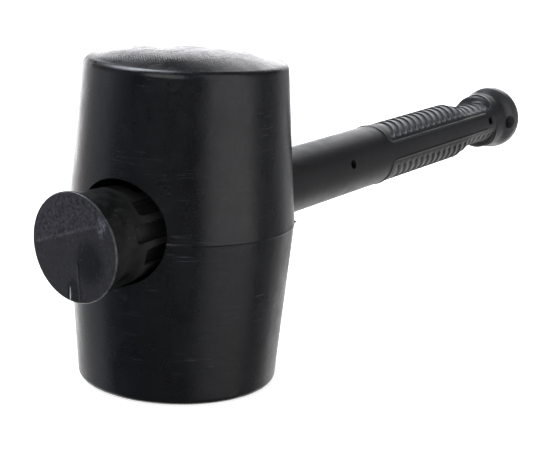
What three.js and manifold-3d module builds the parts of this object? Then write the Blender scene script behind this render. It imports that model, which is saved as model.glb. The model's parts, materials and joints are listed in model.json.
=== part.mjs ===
// Rubber mallet: a barrel-shaped block of solid rubber on a straight handle that is
// moulded over a fibreglass rod. Millimetres, +Z up, origin at the middle of the lower
// striking face, +X along the handle towards the grip.

import * as THREE from 'three';
import { mergeVertices } from 'three/addons/utils/BufferGeometryUtils.js';
import Module from 'manifold-3d';

const wasm = await Module();
wasm.setup();

const DEG = Math.PI / 180;
const FIT_GAP = 0.3; // clearance left between neighbouring pieces
const CUT_OVERRUN = 5; // how far a cutter runs past the surface it opens
const MERGE_TOLERANCE = 1e-4;

// --- Head ---------------------------------------------------------------------------
const HEAD_HEIGHT = 130;
const HEAD_MID_RADIUS = 45; // at the parting line, half way up
const HEAD_END_RADIUS = 40; // both ends narrow by draft from the parting line
const RIM_RADIUS = 3;
const HEAD_SEGMENTS = 60;

// --- How the handle sits in the head ------------------------------------------------
const HANDLE_CANT = 2.85 * DEG; // the grip end stands a little higher
const HANDLE_ROLL = 15 * DEG; // the handle is turned about its own axis
const HANDLE_LIFT = 1.4; // handle axis above the middle of the head, on the head axis

// --- Eye through the head, tapering towards the grip --------------------------------
const EYE_MOUTH_RADIUS = 20.1; // the front mouth widens round a point beside the handle
const EYE_MOUTH_SHIFT = 5.4; // how far beside
const EYE_MOUTH_TURN = 148 * DEG; // which way, counted from +Y towards +Z
const EYE_STEPS = 6;

// --- Handle jacket, stations along the handle from the head axis ---------------------
const FACE_X = -61;
const LIP_RADIUS = 21.1;
const LIP_WIDTH = 1.6;
const LIP_CHAMFER = 0.4;
const FLARE_FRONT_RADIUS = 19.6; // just behind the lip
const FLARE_MID_X = -30;
const FLARE_MID_RADIUS = 18.5;
const SHAFT_START_X = 48;
const SHAFT_RADIUS = 14;
const GRIP_RADIUS = 13.8;
const GRIP_START_X = 137;
const COLLAR_END_X = 246.5;
const POMMEL_X = 255;
const POMMEL_RADIUS = 15.9;
const POMMEL_LAND = 2;
const BUTT_ROUND = 5.3;
const BUTT_X = POMMEL_X + POMMEL_LAND + BUTT_ROUND;
const HANDLE_SEGMENTS = 32;

// --- Fins of the flare ---------------------------------------------------------------
const FIN_COUNT = 12;
const FIN_WIDTH = 2.8;
const POCKET_DEPTH = 4.5;
const POCKET_END_X = -10;
// Where a pocket starts, by how many pockets it is away from the handle's side.
const POCKET_STARTS = [-46.5, -42, -35, -35];

// --- Finger recess between the grip and the collar -----------------------------------
const NECK_START_X = 206;
const NECK_FULL_X = 219;
const NECK_STEP_X = 237.5;
const NECK_END_X = 239.5;
const NECK_FLATTENING = 0.24; // share of the height that the recess takes away
const NECK_RING_SPACING = 3;

// --- Ribbed soft grip panels, one on top and one below --------------------------------
const PANEL_START_X = 136.2;
const PANEL_END_X = 246.3;
const PANEL_HALF_ANGLE = 76 * DEG;
const PANEL_THICKNESS = 1.9;
const RIB_PITCH = 5.3;
const GROOVE_COUNT = 19;
const FIRST_GROOVE_X = 142.6;
const GROOVE_HALF_WIDTH = 0.8;
const GROOVE_DEPTH = 0.8;

// --- Core rod and holes ---------------------------------------------------------------
const CORE_RADIUS = 6;
const CORE_START_X = -50;
const CORE_END_X = 240;
const CORE_CHAMFER = 0.8;
const PIN_HOLE_RADIUS = 2;
const PIN_HOLE_X = [103.6, 231.9];
const HANG_HOLE_RADIUS = 3.2;
const HANG_HOLE_X = 251;
const HOLE_SEGMENTS = 20;

// --- Solids ---------------------------------------------------------------------------

// A closed three.js geometry as a manifold solid.
function toSolid(geometry) {
  const bare = geometry.clone();
  bare.deleteAttribute('normal');
  bare.deleteAttribute('uv');
  const merged = mergeVertices(bare, MERGE_TOLERANCE);
  const index = merged.getIndex().array;
  const triangles = [];
  for (let i = 0; i < index.length; i += 3) {
    const [a, b, c] = [index[i], index[i + 1], index[i + 2]];
    if (a !== b && b !== c && c !== a) {
      triangles.push(a, b, c);
    }
  }
  return new wasm.Manifold(new wasm.Mesh({
    numProp: 3,
    vertProperties: Float32Array.from(merged.getAttribute('position').array),
    triVerts: Uint32Array.from(triangles),
  }));
}

// A manifold solid as a three.js geometry.
function toGeometry(solid) {
  const mesh = solid.getMesh();
  const geometry = new THREE.BufferGeometry();
  geometry.setAttribute('position', new THREE.BufferAttribute(mesh.vertProperties, 3));
  geometry.setIndex(new THREE.BufferAttribute(mesh.triVerts, 1));
  geometry.computeVertexNormals();
  return geometry;
}

// A profile of (radius, station) points turned about the handle's axis.
function turnedAboutX(points, segments) {
  return new THREE.LatheGeometry(points, segments).rotateZ(-Math.PI / 2);
}

// A round rod along the handle between two stations.
function rodAlongX(radius, startX, endX, segments) {
  const rod = new THREE.CylinderGeometry(radius, radius, endX - startX, segments);
  return rod.rotateZ(-Math.PI / 2).translate((startX + endX) / 2, 0, 0);
}

// A prism along the handle whose section is a ring sector centred on an angle that is
// counted from +Y towards +Z.
function sectorAlongX(innerRadius, outerRadius, middle, halfAngle, startX, endX, steps) {
  const arcSteps = Math.ceil(halfAngle * HANDLE_SEGMENTS / Math.PI);
  const shape = new THREE.Shape();
  shape.absarc(0, 0, outerRadius, middle - halfAngle, middle + halfAngle, false);
  shape.absarc(0, 0, innerRadius, middle + halfAngle, middle - halfAngle, true);
  const prism = new THREE.ExtrudeGeometry(shape, {
    depth: endX - startX,
    steps,
    bevelEnabled: false,
    curveSegments: arcSteps,
  });
  const axes = new THREE.Matrix4().makeBasis(
    new THREE.Vector3(0, 1, 0),
    new THREE.Vector3(0, 0, 1),
    new THREE.Vector3(1, 0, 0),
  );
  return prism.applyMatrix4(axes).translate(startX, 0, 0);
}

// The finger recess: the handle's top and bottom sink in along the neck, and its sides stay.
function pinchNeck(geometry) {
  const position = geometry.getAttribute('position');
  const point = new THREE.Vector3();
  for (let i = 0; i < position.count; i += 1) {
    point.fromBufferAttribute(position, i);
    const into = THREE.MathUtils.smoothstep(point.x, NECK_START_X, NECK_FULL_X);
    const out = THREE.MathUtils.smoothstep(point.x, NECK_STEP_X, NECK_END_X);
    const upward = Math.sin(Math.atan2(point.z, point.y));
    const scale = 1 - NECK_FLATTENING * (into - out) * upward ** 2;
    position.setXYZ(i, point.x, point.y * scale, point.z * scale);
  }
  return geometry;
}

// --- Head -----------------------------------------------------------------------------

function headBlock() {
  const flat = HEAD_END_RADIUS - RIM_RADIUS;
  const top = HEAD_HEIGHT - RIM_RADIUS;
  const outline = new THREE.Path();
  outline.moveTo(0, 0);
  outline.lineTo(flat, 0);
  outline.absarc(flat, RIM_RADIUS, RIM_RADIUS, -Math.PI / 2, 0, false);
  outline.lineTo(HEAD_MID_RADIUS, HEAD_HEIGHT / 2);
  outline.lineTo(HEAD_END_RADIUS, top);
  outline.absarc(flat, top, RIM_RADIUS, 0, Math.PI / 2, false);
  outline.lineTo(0, HEAD_HEIGHT);
  const rimSteps = 3;
  return new THREE.LatheGeometry(outline.getPoints(rimSteps), HEAD_SEGMENTS)
    .rotateX(Math.PI / 2);
}

// The eye follows the jacket's taper. Towards the front it also widens to one side, which
// leaves a crescent gap beside the flare.
function eyeCutter() {
  const startX = -HEAD_MID_RADIUS - CUT_OVERRUN;
  const endX = HEAD_MID_RADIUS + CUT_OVERRUN;
  const points = [new THREE.Vector2(0, startX)];
  for (let i = 0; i <= EYE_STEPS; i += 1) {
    points.push(new THREE.Vector2(1, startX + (endX - startX) * i / EYE_STEPS));
  }
  points.push(new THREE.Vector2(0, endX));
  const cutter = turnedAboutX(points, HEAD_SEGMENTS);
  const position = cutter.getAttribute('position');
  for (let i = 0; i < position.count; i += 1) {
    const x = position.getX(i);
    const [y, z] = [position.getY(i), position.getZ(i)];
    const mouth = 1 - THREE.MathUtils.smoothstep(x, -HEAD_MID_RADIUS, 0);
    const snug = jacketRadius(x) + FIT_GAP;
    const aside = Math.atan2(z, y) - EYE_MOUTH_TURN;
    const shift = EYE_MOUTH_SHIFT * mouth;
    const wide = THREE.MathUtils.lerp(snug, EYE_MOUTH_RADIUS, mouth);
    const reach = Math.sqrt(wide ** 2 - (shift * Math.sin(aside)) ** 2);
    const radius = Math.max(snug, shift * Math.cos(aside) + reach);
    position.setY(i, y * radius);
    position.setZ(i, z * radius);
  }
  return cutter;
}

function headGeometry() {
  const eye = eyeCutter().rotateY(-HANDLE_CANT).translate(0, 0, HEAD_HEIGHT / 2 + HANDLE_LIFT);
  return toGeometry(toSolid(headBlock()).subtract(toSolid(eye)));
}

// --- Handle jacket ----------------------------------------------------------------------

// The jacket's radius inside the head, where it narrows from the flare to the shaft.
function jacketRadius(x) {
  if (x < FLARE_MID_X) {
    const back = (x - FACE_X) / (FLARE_MID_X - FACE_X);
    return THREE.MathUtils.lerp(FLARE_FRONT_RADIUS, FLARE_MID_RADIUS, back);
  }
  const along = THREE.MathUtils.clamp((x - FLARE_MID_X) / (SHAFT_START_X - FLARE_MID_X), 0, 1);
  return THREE.MathUtils.lerp(FLARE_MID_RADIUS, SHAFT_RADIUS, along);
}

function jacketBody() {
  const lipEnd = FACE_X + LIP_WIDTH;
  const pommelEnd = POMMEL_X + POMMEL_LAND;
  const buttFlat = POMMEL_RADIUS - BUTT_ROUND;
  const outline = new THREE.Path();
  outline.moveTo(0, FACE_X);
  outline.lineTo(LIP_RADIUS - LIP_CHAMFER, FACE_X);
  outline.lineTo(LIP_RADIUS, FACE_X + LIP_CHAMFER);
  outline.lineTo(LIP_RADIUS, lipEnd);
  outline.lineTo(jacketRadius(lipEnd), lipEnd + LIP_CHAMFER);
  outline.lineTo(FLARE_MID_RADIUS, FLARE_MID_X);
  outline.lineTo(SHAFT_RADIUS, SHAFT_START_X);
  outline.lineTo(GRIP_RADIUS, GRIP_START_X);
  for (let x = NECK_START_X; x < NECK_STEP_X; x += NECK_RING_SPACING) {
    outline.lineTo(GRIP_RADIUS, x);
  }
  outline.lineTo(GRIP_RADIUS, NECK_STEP_X);
  outline.lineTo(GRIP_RADIUS, NECK_END_X);
  outline.lineTo(GRIP_RADIUS, COLLAR_END_X);
  const blendX = (COLLAR_END_X + POMMEL_X) / 2;
  outline.bezierCurveTo(GRIP_RADIUS, blendX, POMMEL_RADIUS, blendX, POMMEL_RADIUS, POMMEL_X);
  outline.lineTo(POMMEL_RADIUS, pommelEnd);
  outline.absarc(buttFlat, pommelEnd, BUTT_ROUND, 0, Math.PI / 2, false);
  outline.lineTo(0, BUTT_X);
  const curveSteps = 5;
  return pinchNeck(turnedAboutX(outline.getPoints(curveSteps), HANDLE_SEGMENTS));
}

// The pockets between the fins, each on the way between two fins of even width.
function finPockets() {
  const pitch = 2 * Math.PI / FIN_COUNT;
  const floorRadius = FLARE_MID_RADIUS - POCKET_DEPTH;
  const halfAngle = pitch / 2 - FIN_WIDTH / (2 * FLARE_MID_RADIUS);
  const pockets = [];
  for (let i = 0; i < FIN_COUNT; i += 1) {
    const fromSide = i % (FIN_COUNT / 2);
    const startX = POCKET_STARTS[Math.min(fromSide, FIN_COUNT / 2 - fromSide)];
    const outerRadius = LIP_RADIUS + CUT_OVERRUN;
    pockets.push(sectorAlongX(floorRadius, outerRadius, i * pitch, halfAngle, startX, POCKET_END_X, 1));
  }
  return pockets;
}

function panelRecess(middle) {
  const floorRadius = GRIP_RADIUS - PANEL_THICKNESS - FIT_GAP;
  const halfAngle = PANEL_HALF_ANGLE + FIT_GAP / GRIP_RADIUS;
  const startX = PANEL_START_X - FIT_GAP;
  const endX = PANEL_END_X + FIT_GAP;
  const steps = Math.round((endX - startX) / NECK_RING_SPACING);
  const outerRadius = GRIP_RADIUS + CUT_OVERRUN;
  return pinchNeck(sectorAlongX(floorRadius, outerRadius, middle, halfAngle, startX, endX, steps));
}

function pinHole(x) {
  const length = 2 * (SHAFT_RADIUS + CUT_OVERRUN);
  return new THREE.CylinderGeometry(PIN_HOLE_RADIUS, PIN_HOLE_RADIUS, length, HOLE_SEGMENTS)
    .translate(x, 0, 0);
}

// The hang hole runs level, whatever the handle's roll.
function hangHole() {
  const length = 2 * (POMMEL_RADIUS + CUT_OVERRUN);
  return new THREE.CylinderGeometry(HANG_HOLE_RADIUS, HANG_HOLE_RADIUS, length, HOLE_SEGMENTS)
    .rotateX(HANDLE_ROLL)
    .translate(HANG_HOLE_X, 0, 0);
}

function jacketGeometry() {
  const bore = rodAlongX(
    CORE_RADIUS + FIT_GAP,
    CORE_START_X - FIT_GAP,
    CORE_END_X + FIT_GAP,
    HANDLE_SEGMENTS,
  );
  const cutters = [
    bore,
    hangHole(),
    panelRecess(Math.PI / 2),
    panelRecess(-Math.PI / 2),
    ...PIN_HOLE_X.map(pinHole),
    ...finPockets(),
  ];
  let jacket = toSolid(jacketBody());
  for (const cutter of cutters) {
    jacket = jacket.subtract(toSolid(cutter));
  }
  return toGeometry(jacket);
}

// --- Grip panels --------------------------------------------------------------------------

// A ribbed sleeve the length of a panel: V grooves at an even pitch in its outside.
function ribbedSleeve() {
  const innerRadius = GRIP_RADIUS - PANEL_THICKNESS;
  const points = [new THREE.Vector2(innerRadius, PANEL_START_X)];
  points.push(new THREE.Vector2(GRIP_RADIUS, PANEL_START_X));
  for (let i = 0; i < GROOVE_COUNT; i += 1) {
    const x = FIRST_GROOVE_X + i * RIB_PITCH;
    points.push(new THREE.Vector2(GRIP_RADIUS, x - GROOVE_HALF_WIDTH));
    points.push(new THREE.Vector2(GRIP_RADIUS - GROOVE_DEPTH, x));
    points.push(new THREE.Vector2(GRIP_RADIUS, x + GROOVE_HALF_WIDTH));
  }
  points.push(new THREE.Vector2(GRIP_RADIUS, PANEL_END_X));
  points.push(new THREE.Vector2(innerRadius, PANEL_END_X));
  for (let x = NECK_END_X; x > NECK_START_X; x -= NECK_RING_SPACING) {
    points.push(new THREE.Vector2(innerRadius, x));
  }
  points.push(points[0].clone());
  return pinchNeck(turnedAboutX(points, HANDLE_SEGMENTS));
}

function panelGeometry(middle) {
  const startX = PANEL_START_X - CUT_OVERRUN;
  const endX = PANEL_END_X + CUT_OVERRUN;
  const outerRadius = GRIP_RADIUS + CUT_OVERRUN;
  const sector = sectorAlongX(CORE_RADIUS, outerRadius, middle, PANEL_HALF_ANGLE, startX, endX, 1);
  return toGeometry(toSolid(ribbedSleeve()).intersect(toSolid(sector)));
}

// --- Core rod -------------------------------------------------------------------------------

function coreGeometry() {
  const points = [
    new THREE.Vector2(0, CORE_START_X),
    new THREE.Vector2(CORE_RADIUS - CORE_CHAMFER, CORE_START_X),
    new THREE.Vector2(CORE_RADIUS, CORE_START_X + CORE_CHAMFER),
    new THREE.Vector2(CORE_RADIUS, CORE_END_X - CORE_CHAMFER),
    new THREE.Vector2(CORE_RADIUS - CORE_CHAMFER, CORE_END_X),
    new THREE.Vector2(0, CORE_END_X),
  ];
  return toGeometry(toSolid(turnedAboutX(points, HANDLE_SEGMENTS)));
}

// --- Assembly ---------------------------------------------------------------------------------

const headRubber = new THREE.MeshStandardMaterial({ color: 0x151618, roughness: 0.55, metalness: 0 });
const jacketPlastic = new THREE.MeshStandardMaterial({ color: 0x1b1b1e, roughness: 0.45, metalness: 0 });
const gripRubber = new THREE.MeshStandardMaterial({ color: 0x1e1e20, roughness: 0.6, metalness: 0 });
const glassRod = new THREE.MeshStandardMaterial({ color: 0xb9a56a, roughness: 0.5, metalness: 0 });

function namedMesh(name, geometry, material) {
  const mesh = new THREE.Mesh(geometry, material);
  mesh.name = name;
  return mesh;
}

const rolled = new THREE.Group();
rolled.rotation.x = -HANDLE_ROLL;
rolled.add(namedMesh('handle_jacket', jacketGeometry(), jacketPlastic));
rolled.add(namedMesh('grip_panel_upper', panelGeometry(Math.PI / 2), gripRubber));
rolled.add(namedMesh('grip_panel_lower', panelGeometry(-Math.PI / 2), gripRubber));
rolled.add(namedMesh('core_rod', coreGeometry(), glassRod));

const handle = new THREE.Group();
handle.rotation.y = -HANDLE_CANT;
handle.position.z = HEAD_HEIGHT / 2 + HANDLE_LIFT;
handle.add(rolled);

const group = new THREE.Group();
group.add(namedMesh('rubber_head', headGeometry(), headRubber));
group.add(handle);

export default group;
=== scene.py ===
"""Rubber mallet: a barrel-shaped head of solid rubber on a flared, moulded handle.

The design frame is loaded first. Every visible piece is then built as a fine closed surface
in the same places, with a procedural material, and stands for its plain design solid.
Lengths inside the script are millimetres; a mesh is scaled to metres when it is made.
"""

import json
import math

import bmesh
import bpy
import numpy as np
from mathutils import Matrix, Vector

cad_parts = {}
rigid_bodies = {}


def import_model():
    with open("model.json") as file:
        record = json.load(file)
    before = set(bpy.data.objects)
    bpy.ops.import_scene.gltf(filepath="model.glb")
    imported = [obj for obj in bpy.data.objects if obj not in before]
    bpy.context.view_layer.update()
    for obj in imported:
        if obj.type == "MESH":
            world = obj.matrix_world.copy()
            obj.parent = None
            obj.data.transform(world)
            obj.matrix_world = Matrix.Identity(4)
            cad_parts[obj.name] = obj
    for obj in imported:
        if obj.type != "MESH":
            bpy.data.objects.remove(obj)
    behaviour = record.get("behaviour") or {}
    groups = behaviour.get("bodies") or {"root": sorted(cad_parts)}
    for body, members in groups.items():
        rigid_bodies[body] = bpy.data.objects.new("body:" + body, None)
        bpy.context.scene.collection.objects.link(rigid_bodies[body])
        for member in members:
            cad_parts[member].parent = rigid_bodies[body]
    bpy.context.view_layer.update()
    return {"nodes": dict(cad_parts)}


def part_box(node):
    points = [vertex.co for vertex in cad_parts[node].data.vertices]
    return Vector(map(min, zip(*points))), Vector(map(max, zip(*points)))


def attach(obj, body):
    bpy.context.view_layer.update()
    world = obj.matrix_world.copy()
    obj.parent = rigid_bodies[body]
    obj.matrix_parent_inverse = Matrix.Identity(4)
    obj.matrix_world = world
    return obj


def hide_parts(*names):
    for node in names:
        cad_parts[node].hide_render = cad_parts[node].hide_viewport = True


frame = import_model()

MM = 0.001

# --- Head, from the design's box ---
HEAD_LOW, HEAD_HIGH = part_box("rubber_head")
HEAD_HEIGHT = (HEAD_HIGH.z - HEAD_LOW.z) / MM
HEAD_MID_RADIUS = (HEAD_HIGH.y - HEAD_LOW.y) / 2 / MM
HEAD_MID = HEAD_HEIGHT / 2
HEAD_END_RADIUS = HEAD_MID_RADIUS - 5
RIM_RADIUS = 3
HEAD_TAPER = (HEAD_MID_RADIUS - HEAD_END_RADIUS) / (HEAD_MID - RIM_RADIUS)
UPPER_DOME = 2.6  # how far the upper striking face bulges in the middle
ROLL_OFF = 1.3  # and how far it falls away towards the rim
ROLL_OFF_START = 0.56

# --- How the handle sits in the head ---
HANDLE_CANT = math.radians(2.85)
HANDLE_ROLL = math.radians(15)
HANDLE_LIFT = 1.4
TO_HEAD = (
    Matrix.Translation((0, 0, HEAD_MID + HANDLE_LIFT))
    @ Matrix.Rotation(-HANDLE_CANT, 4, "Y")
    @ Matrix.Rotation(-HANDLE_ROLL, 4, "X")
)

# --- Eye ---
EYE_MOUTH_RADIUS = 20.1
EYE_MOUTH_SHIFT = 5.4
EYE_MOUTH_TURN = math.radians(148)
EYE_LIP = 0.4
EYE_GAP = 0.12
EYE_SEARCH = (15.0, 70.0)  # each mouth lies between these stations
EYE_BISECTIONS = 40
EYE_SAMPLES = 1440
FIT_GAP = 0.3
HEAD_COLUMNS = 240
EYE_ROWS = (24, 28)  # how far the mesh round the eye reaches below and above mid height
EYE_COLUMNS = ((-1, math.pi, 21, 27), (1, 0, 24, 24))  # side, middle, columns before and after

# --- Handle jacket, stations along the handle from the head axis ---
FACE_X = -61
LIP_RADIUS = 21.1
LIP_WIDTH = 1.6
LIP_EDGE = 0.45
FLARE_FRONT_RADIUS = 19.6
FLARE_MID_X = -30
FLARE_MID_RADIUS = 18.5
SHAFT_START_X = 48
SHAFT_RADIUS = 14
GRIP_RADIUS = 13.8
GRIP_START_X = 137
COLLAR_END_X = 246.5
POMMEL_X = 255
POMMEL_RADIUS = 15.9
POMMEL_LAND = 2
BUTT_ROUND = 5.3
BUTT_X = POMMEL_X + POMMEL_LAND + BUTT_ROUND

# --- Fins of the flare ---
FIN_COUNT = 12
FIN_WIDTH = 2.8
POCKET_DEPTH = 3.6
POCKET_END_X = -10
POCKET_STARTS = (-46.5, -42, -35, -35)  # by the number of pockets away from the handle's side
POCKET_WALL = 0.45  # how far a pocket's wall leans
POCKET_RAMP = 1.7  # how far the wall at a pocket's start leans
POCKET_CORNER = 1.0

# --- Finger recess ---
NECK_START_X = 206
NECK_FULL_X = 219
NECK_STEP_X = 237.5
NECK_END_X = 239.5
NECK_FLATTENING = 0.24

# --- Ribbed grip panels ---
PANEL_START_X = 136.2
PANEL_END_X = 246.3
PANEL_HALF_ANGLE = math.radians(76)
PANEL_HALF_WIDTH = PANEL_HALF_ANGLE * GRIP_RADIUS
PANEL_THICKNESS = 1.9
PANEL_CORNER = 4.5
PANEL_GAP = 0.05
RIB_PITCH = 5.3
GROOVE_COUNT = 19
FIRST_GROOVE_X = 142.6
RIB_STEP = 0.8  # each rib rises in a step and falls away towards the pommel
RIB_STEP_WIDTH = 0.38
RIB_END_ANGLE = math.radians(64.5)
FIRST_BULGE = 7.0
LAST_BULGE = 4.6
BEAD_OFFSET = 0.75
BEAD_WIDTH = 0.95
BEAD_HEIGHT = 0.42
BEAD_END_X = 229

# --- Core rod bore and holes ---
CORE_RADIUS = 6
CORE_START_X = -50
CORE_END_X = 240
PIN_HOLE_RADIUS = 2
PIN_HOLE_LIP = 0.3
PIN_HOLE_X = (103.6, 231.9)
PIN_BLOCK = 2.8  # how far the finer mesh round a pin hole reaches
PIN_ROWS = 20
PIN_SPACING = 2 * PIN_BLOCK / PIN_ROWS
HANG_HOLE_RADIUS = 3.2
HANG_HOLE_LIP = 0.4
HANG_HOLE_X = 251
HANG_BLOCK = (4.2, 4.9)  # the same before and after the hang hole
HANG_BLOCK_REACH = math.radians(21)
STRIP_BAR_X = 235.6  # a low bar across the plain strip
STRIP_BAR_HEIGHT = 0.22


# --- Small maths ---

def smooth(value, low, high):
    """0 below low, 1 above high and a smooth rise between them."""
    t = np.clip((np.asarray(value, float) - low) / (high - low), 0, 1)
    return t * t * (3 - 2 * t)


def mix(a, b, share):
    return a + (b - a) * share


def bell(value, middle, width):
    """1 in the middle, falling off on both sides."""
    return np.exp(-(((value - middle) / width) ** 2))


def steps(start, end, spacing):
    """Even stations from start up to, but not including, end."""
    count = max(1, round(abs(end - start) / spacing))
    return list(np.linspace(start, end, count, endpoint=False))


def wobble(angle, seed, lobes=9):
    """A smooth, repeatable, closed wave round a turn, about -1 to 1."""
    rng = np.random.default_rng(seed)
    total = np.zeros_like(np.asarray(angle, float))
    for n in range(1, lobes + 1):
        total += rng.normal() * np.sin(n * angle + rng.uniform(0, 2 * math.pi)) / math.sqrt(n)
    return total / 2.5


# --- Laying out a closed surface ---

class Shell:
    """The points and faces of one closed surface while it is laid out."""

    def __init__(self):
        self.points = []
        self.count = 0
        self.faces = []

    def add(self, points):
        points = np.asarray(points, float).reshape(-1, 3)
        ids = np.arange(self.count, self.count + len(points))
        self.points.append(points)
        self.count += len(points)
        return ids

    def quads(self, a, b, c, d):
        self.faces += np.stack([a, b, c, d], axis=1).tolist()

    def bridge(self, a, b):
        """Faces between two closed loops of as many points."""
        self.quads(a, np.roll(a, -1), np.roll(b, -1), b)

    def fan(self, loop, centre):
        middle = int(self.add([centre])[0])
        after = np.roll(loop, -1)
        self.faces += [[int(p), int(q), middle] for p, q in zip(loop, after)]

    def rings(self, loop, rows):
        """Adds each row of points as a loop joined to the one before; returns the last."""
        for row in rows:
            ring = self.add(row)
            self.bridge(loop, ring)
            loop = ring
        return loop

    def to_object(self, name, matrix=Matrix.Identity(4)):
        mesh = bpy.data.meshes.new(name)
        mesh.from_pydata(np.concatenate(self.points).tolist(), [], self.faces)
        mesh.transform(Matrix.Scale(MM, 4) @ matrix)
        tidy = bmesh.new()
        tidy.from_mesh(mesh)
        bmesh.ops.recalc_face_normals(tidy, faces=tidy.faces)
        tidy.to_mesh(mesh)
        tidy.free()
        mesh.shade_smooth()
        piece = bpy.data.objects.new(name, mesh)
        bpy.context.scene.collection.objects.link(piece)
        return piece


def border_path(row_cells, column_cells):
    """Row and column numbers once round the border of a block of cells."""
    down = np.arange(row_cells)
    over = np.arange(column_cells)
    rows = [down, 0 * over + row_cells, row_cells - down, 0 * over]
    columns = [0 * down + column_cells, column_cells - over, 0 * down, over]
    return np.concatenate(rows), np.concatenate(columns)


class Band:
    """Rows and columns of a surface that closes round an axis, with blocks of cells left out.

    A block is (first row, last row, first column, last column); its columns may run past
    the last one, back to the start.
    """

    def __init__(self, shell, rows, columns, place, blocks):
        self.rows = np.asarray(rows, float)
        self.columns = np.asarray(columns, float)
        shape = (len(self.rows), len(self.columns))
        keep = np.ones(shape, bool)
        cells = np.ones((shape[0] - 1, shape[1]), bool)
        for r0, r1, c0, c1 in blocks:
            keep[r0 + 1:r1, np.arange(c0 + 1, c1) % shape[1]] = False
            cells[r0:r1, np.arange(c0, c1) % shape[1]] = False
        r, c = np.nonzero(keep)
        self.ids = np.full(shape, -1)
        self.ids[r, c] = shell.add(place(self.rows[r], self.columns[c]))
        i, j = np.nonzero(cells)
        k = (j + 1) % shape[1]
        shell.quads(self.ids[i, j], self.ids[i, k], self.ids[i + 1, k], self.ids[i + 1, j])

    def angle(self, c):
        turns, c = np.divmod(c, len(self.columns))
        return self.columns[c] + 2 * math.pi * turns

    def loop(self, block, mirrored=False):
        """The points round a block: their numbers, row values and angles."""
        r0, r1, c0, c1 = block
        r, c = border_path(r1 - r0, c1 - c0)
        c = c1 - c if mirrored else c0 + c
        return self.ids[r0 + r, c % len(self.columns)], self.rows[r0 + r], self.angle(c)


def fill_grid(shell, ids):
    """Faces over an open grid of points."""
    corners = ids[:-1, :-1], ids[:-1, 1:], ids[1:, 1:], ids[1:, :-1]
    shell.quads(*(c.ravel() for c in corners))


def row_at(rows, value):
    return int(np.argmin(np.abs(np.asarray(rows) - value)))


# --- Head ---

FLASH_HEIGHT = 0.13  # the raised line where the two halves of the mould met
FLASH_WIDTH = 0.3
FLASH_TAB_ANGLE = math.radians(-51.5)
FLASH_TAB_HEIGHT = 1.1
FLASH_TAB_WIDTH = math.radians(1.3)
LAP_HEIGHT = HEAD_HEIGHT - 5.2  # a shallow fold in the rubber below the upper rim
LAP_START = math.radians(-123)
LAP_END = math.radians(-97)
LAP_DEPTH = 0.22


def head_radius(z):
    """The wall's radius: widest at mid height, straight draft to both ends."""
    return HEAD_MID_RADIUS - HEAD_TAPER * np.abs(z - HEAD_MID)


def head_wall(z, angle):
    """Points of the head's wall, with its parting line, its lap and its slight waves."""
    z = np.asarray(z, float)
    line = HEAD_MID + 0.05 * wobble(angle, 3)
    crest = FLASH_HEIGHT * (1 + 0.35 * wobble(angle, 4, 30))
    crest = crest + FLASH_TAB_HEIGHT * bell(angle, FLASH_TAB_ANGLE, FLASH_TAB_WIDTH)
    radius = head_radius(z) + crest * bell(z, line, FLASH_WIDTH)
    radius = radius + 0.06 * wobble(angle, 5, 6) * bell(z, HEAD_MID, 40)
    along = smooth(angle, LAP_START, LAP_START + 0.1) * (1 - smooth(angle, LAP_END - 0.1, LAP_END))
    radius = radius - LAP_DEPTH * along * bell(z, LAP_HEIGHT + 0.3 * wobble(angle, 6), 0.35)
    return np.stack([radius * np.cos(angle), radius * np.sin(angle), z], axis=-1)


def head_rows():
    """Wall stations from the lower rim to the upper one, close together at the parting line."""
    rim_start = RIM_RADIUS * (1 - math.sin(math.atan(HEAD_TAPER)))
    top = HEAD_HEIGHT - ROLL_OFF - rim_start
    near = [0, 0.12, 0.24, 0.36, 0.5, 0.7, 1.0, 1.5]
    lap = [LAP_HEIGHT + 0.2 * i for i in range(-5, 6)]
    upper = [HEAD_MID + o for o in near] + steps(HEAD_MID + 2.2, LAP_HEIGHT - 1.6, 1.15) + lap + [top]
    lower = [HEAD_MID - o for o in near[1:]] + steps(HEAD_MID - 2.2, rim_start + 1, 1.15)
    return sorted(upper + lower + [rim_start])


def rim_and_face(shell, loop, angles, upper):
    """The rounded rim and the striking face of one end."""
    tilt = math.atan(HEAD_TAPER)
    centre = head_radius(HEAD_HEIGHT - RIM_RADIUS) - RIM_RADIUS
    centre = centre + RIM_RADIUS * (1 / math.cos(tilt) - 1)
    dome, roll_off = (UPPER_DOME, ROLL_OFF) if upper else (0, 0)
    rows = []
    for turn in np.linspace(tilt, math.pi / 2, 12)[1:]:
        nick = 0.06 * wobble(angles, 8, 60) * math.sin(2 * turn)
        drop = roll_off + RIM_RADIUS * (1 - math.sin(turn))
        rows.append((centre + RIM_RADIUS * math.cos(turn) + nick, -drop))
    for share in (0.98, 0.95, 0.91, 0.86, 0.8, 0.73, 0.65, 0.55, 0.45, 0.35, 0.25, 0.15, 0.07):
        away = max(0, (share - ROLL_OFF_START) / (1 - ROLL_OFF_START))
        rows.append((centre * share + 0 * angles, dome * (1 - share ** 2) - roll_off * away ** 2))
    points = []
    for radius, rise in rows:
        z = (HEAD_HEIGHT + rise if upper else -rise) + 0 * angles
        points.append(np.stack([radius * np.cos(angles), radius * np.sin(angles), z], axis=-1))
    last = shell.rings(loop, points)
    shell.fan(last, (0, 0, HEAD_HEIGHT + dome if upper else 0))


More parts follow.
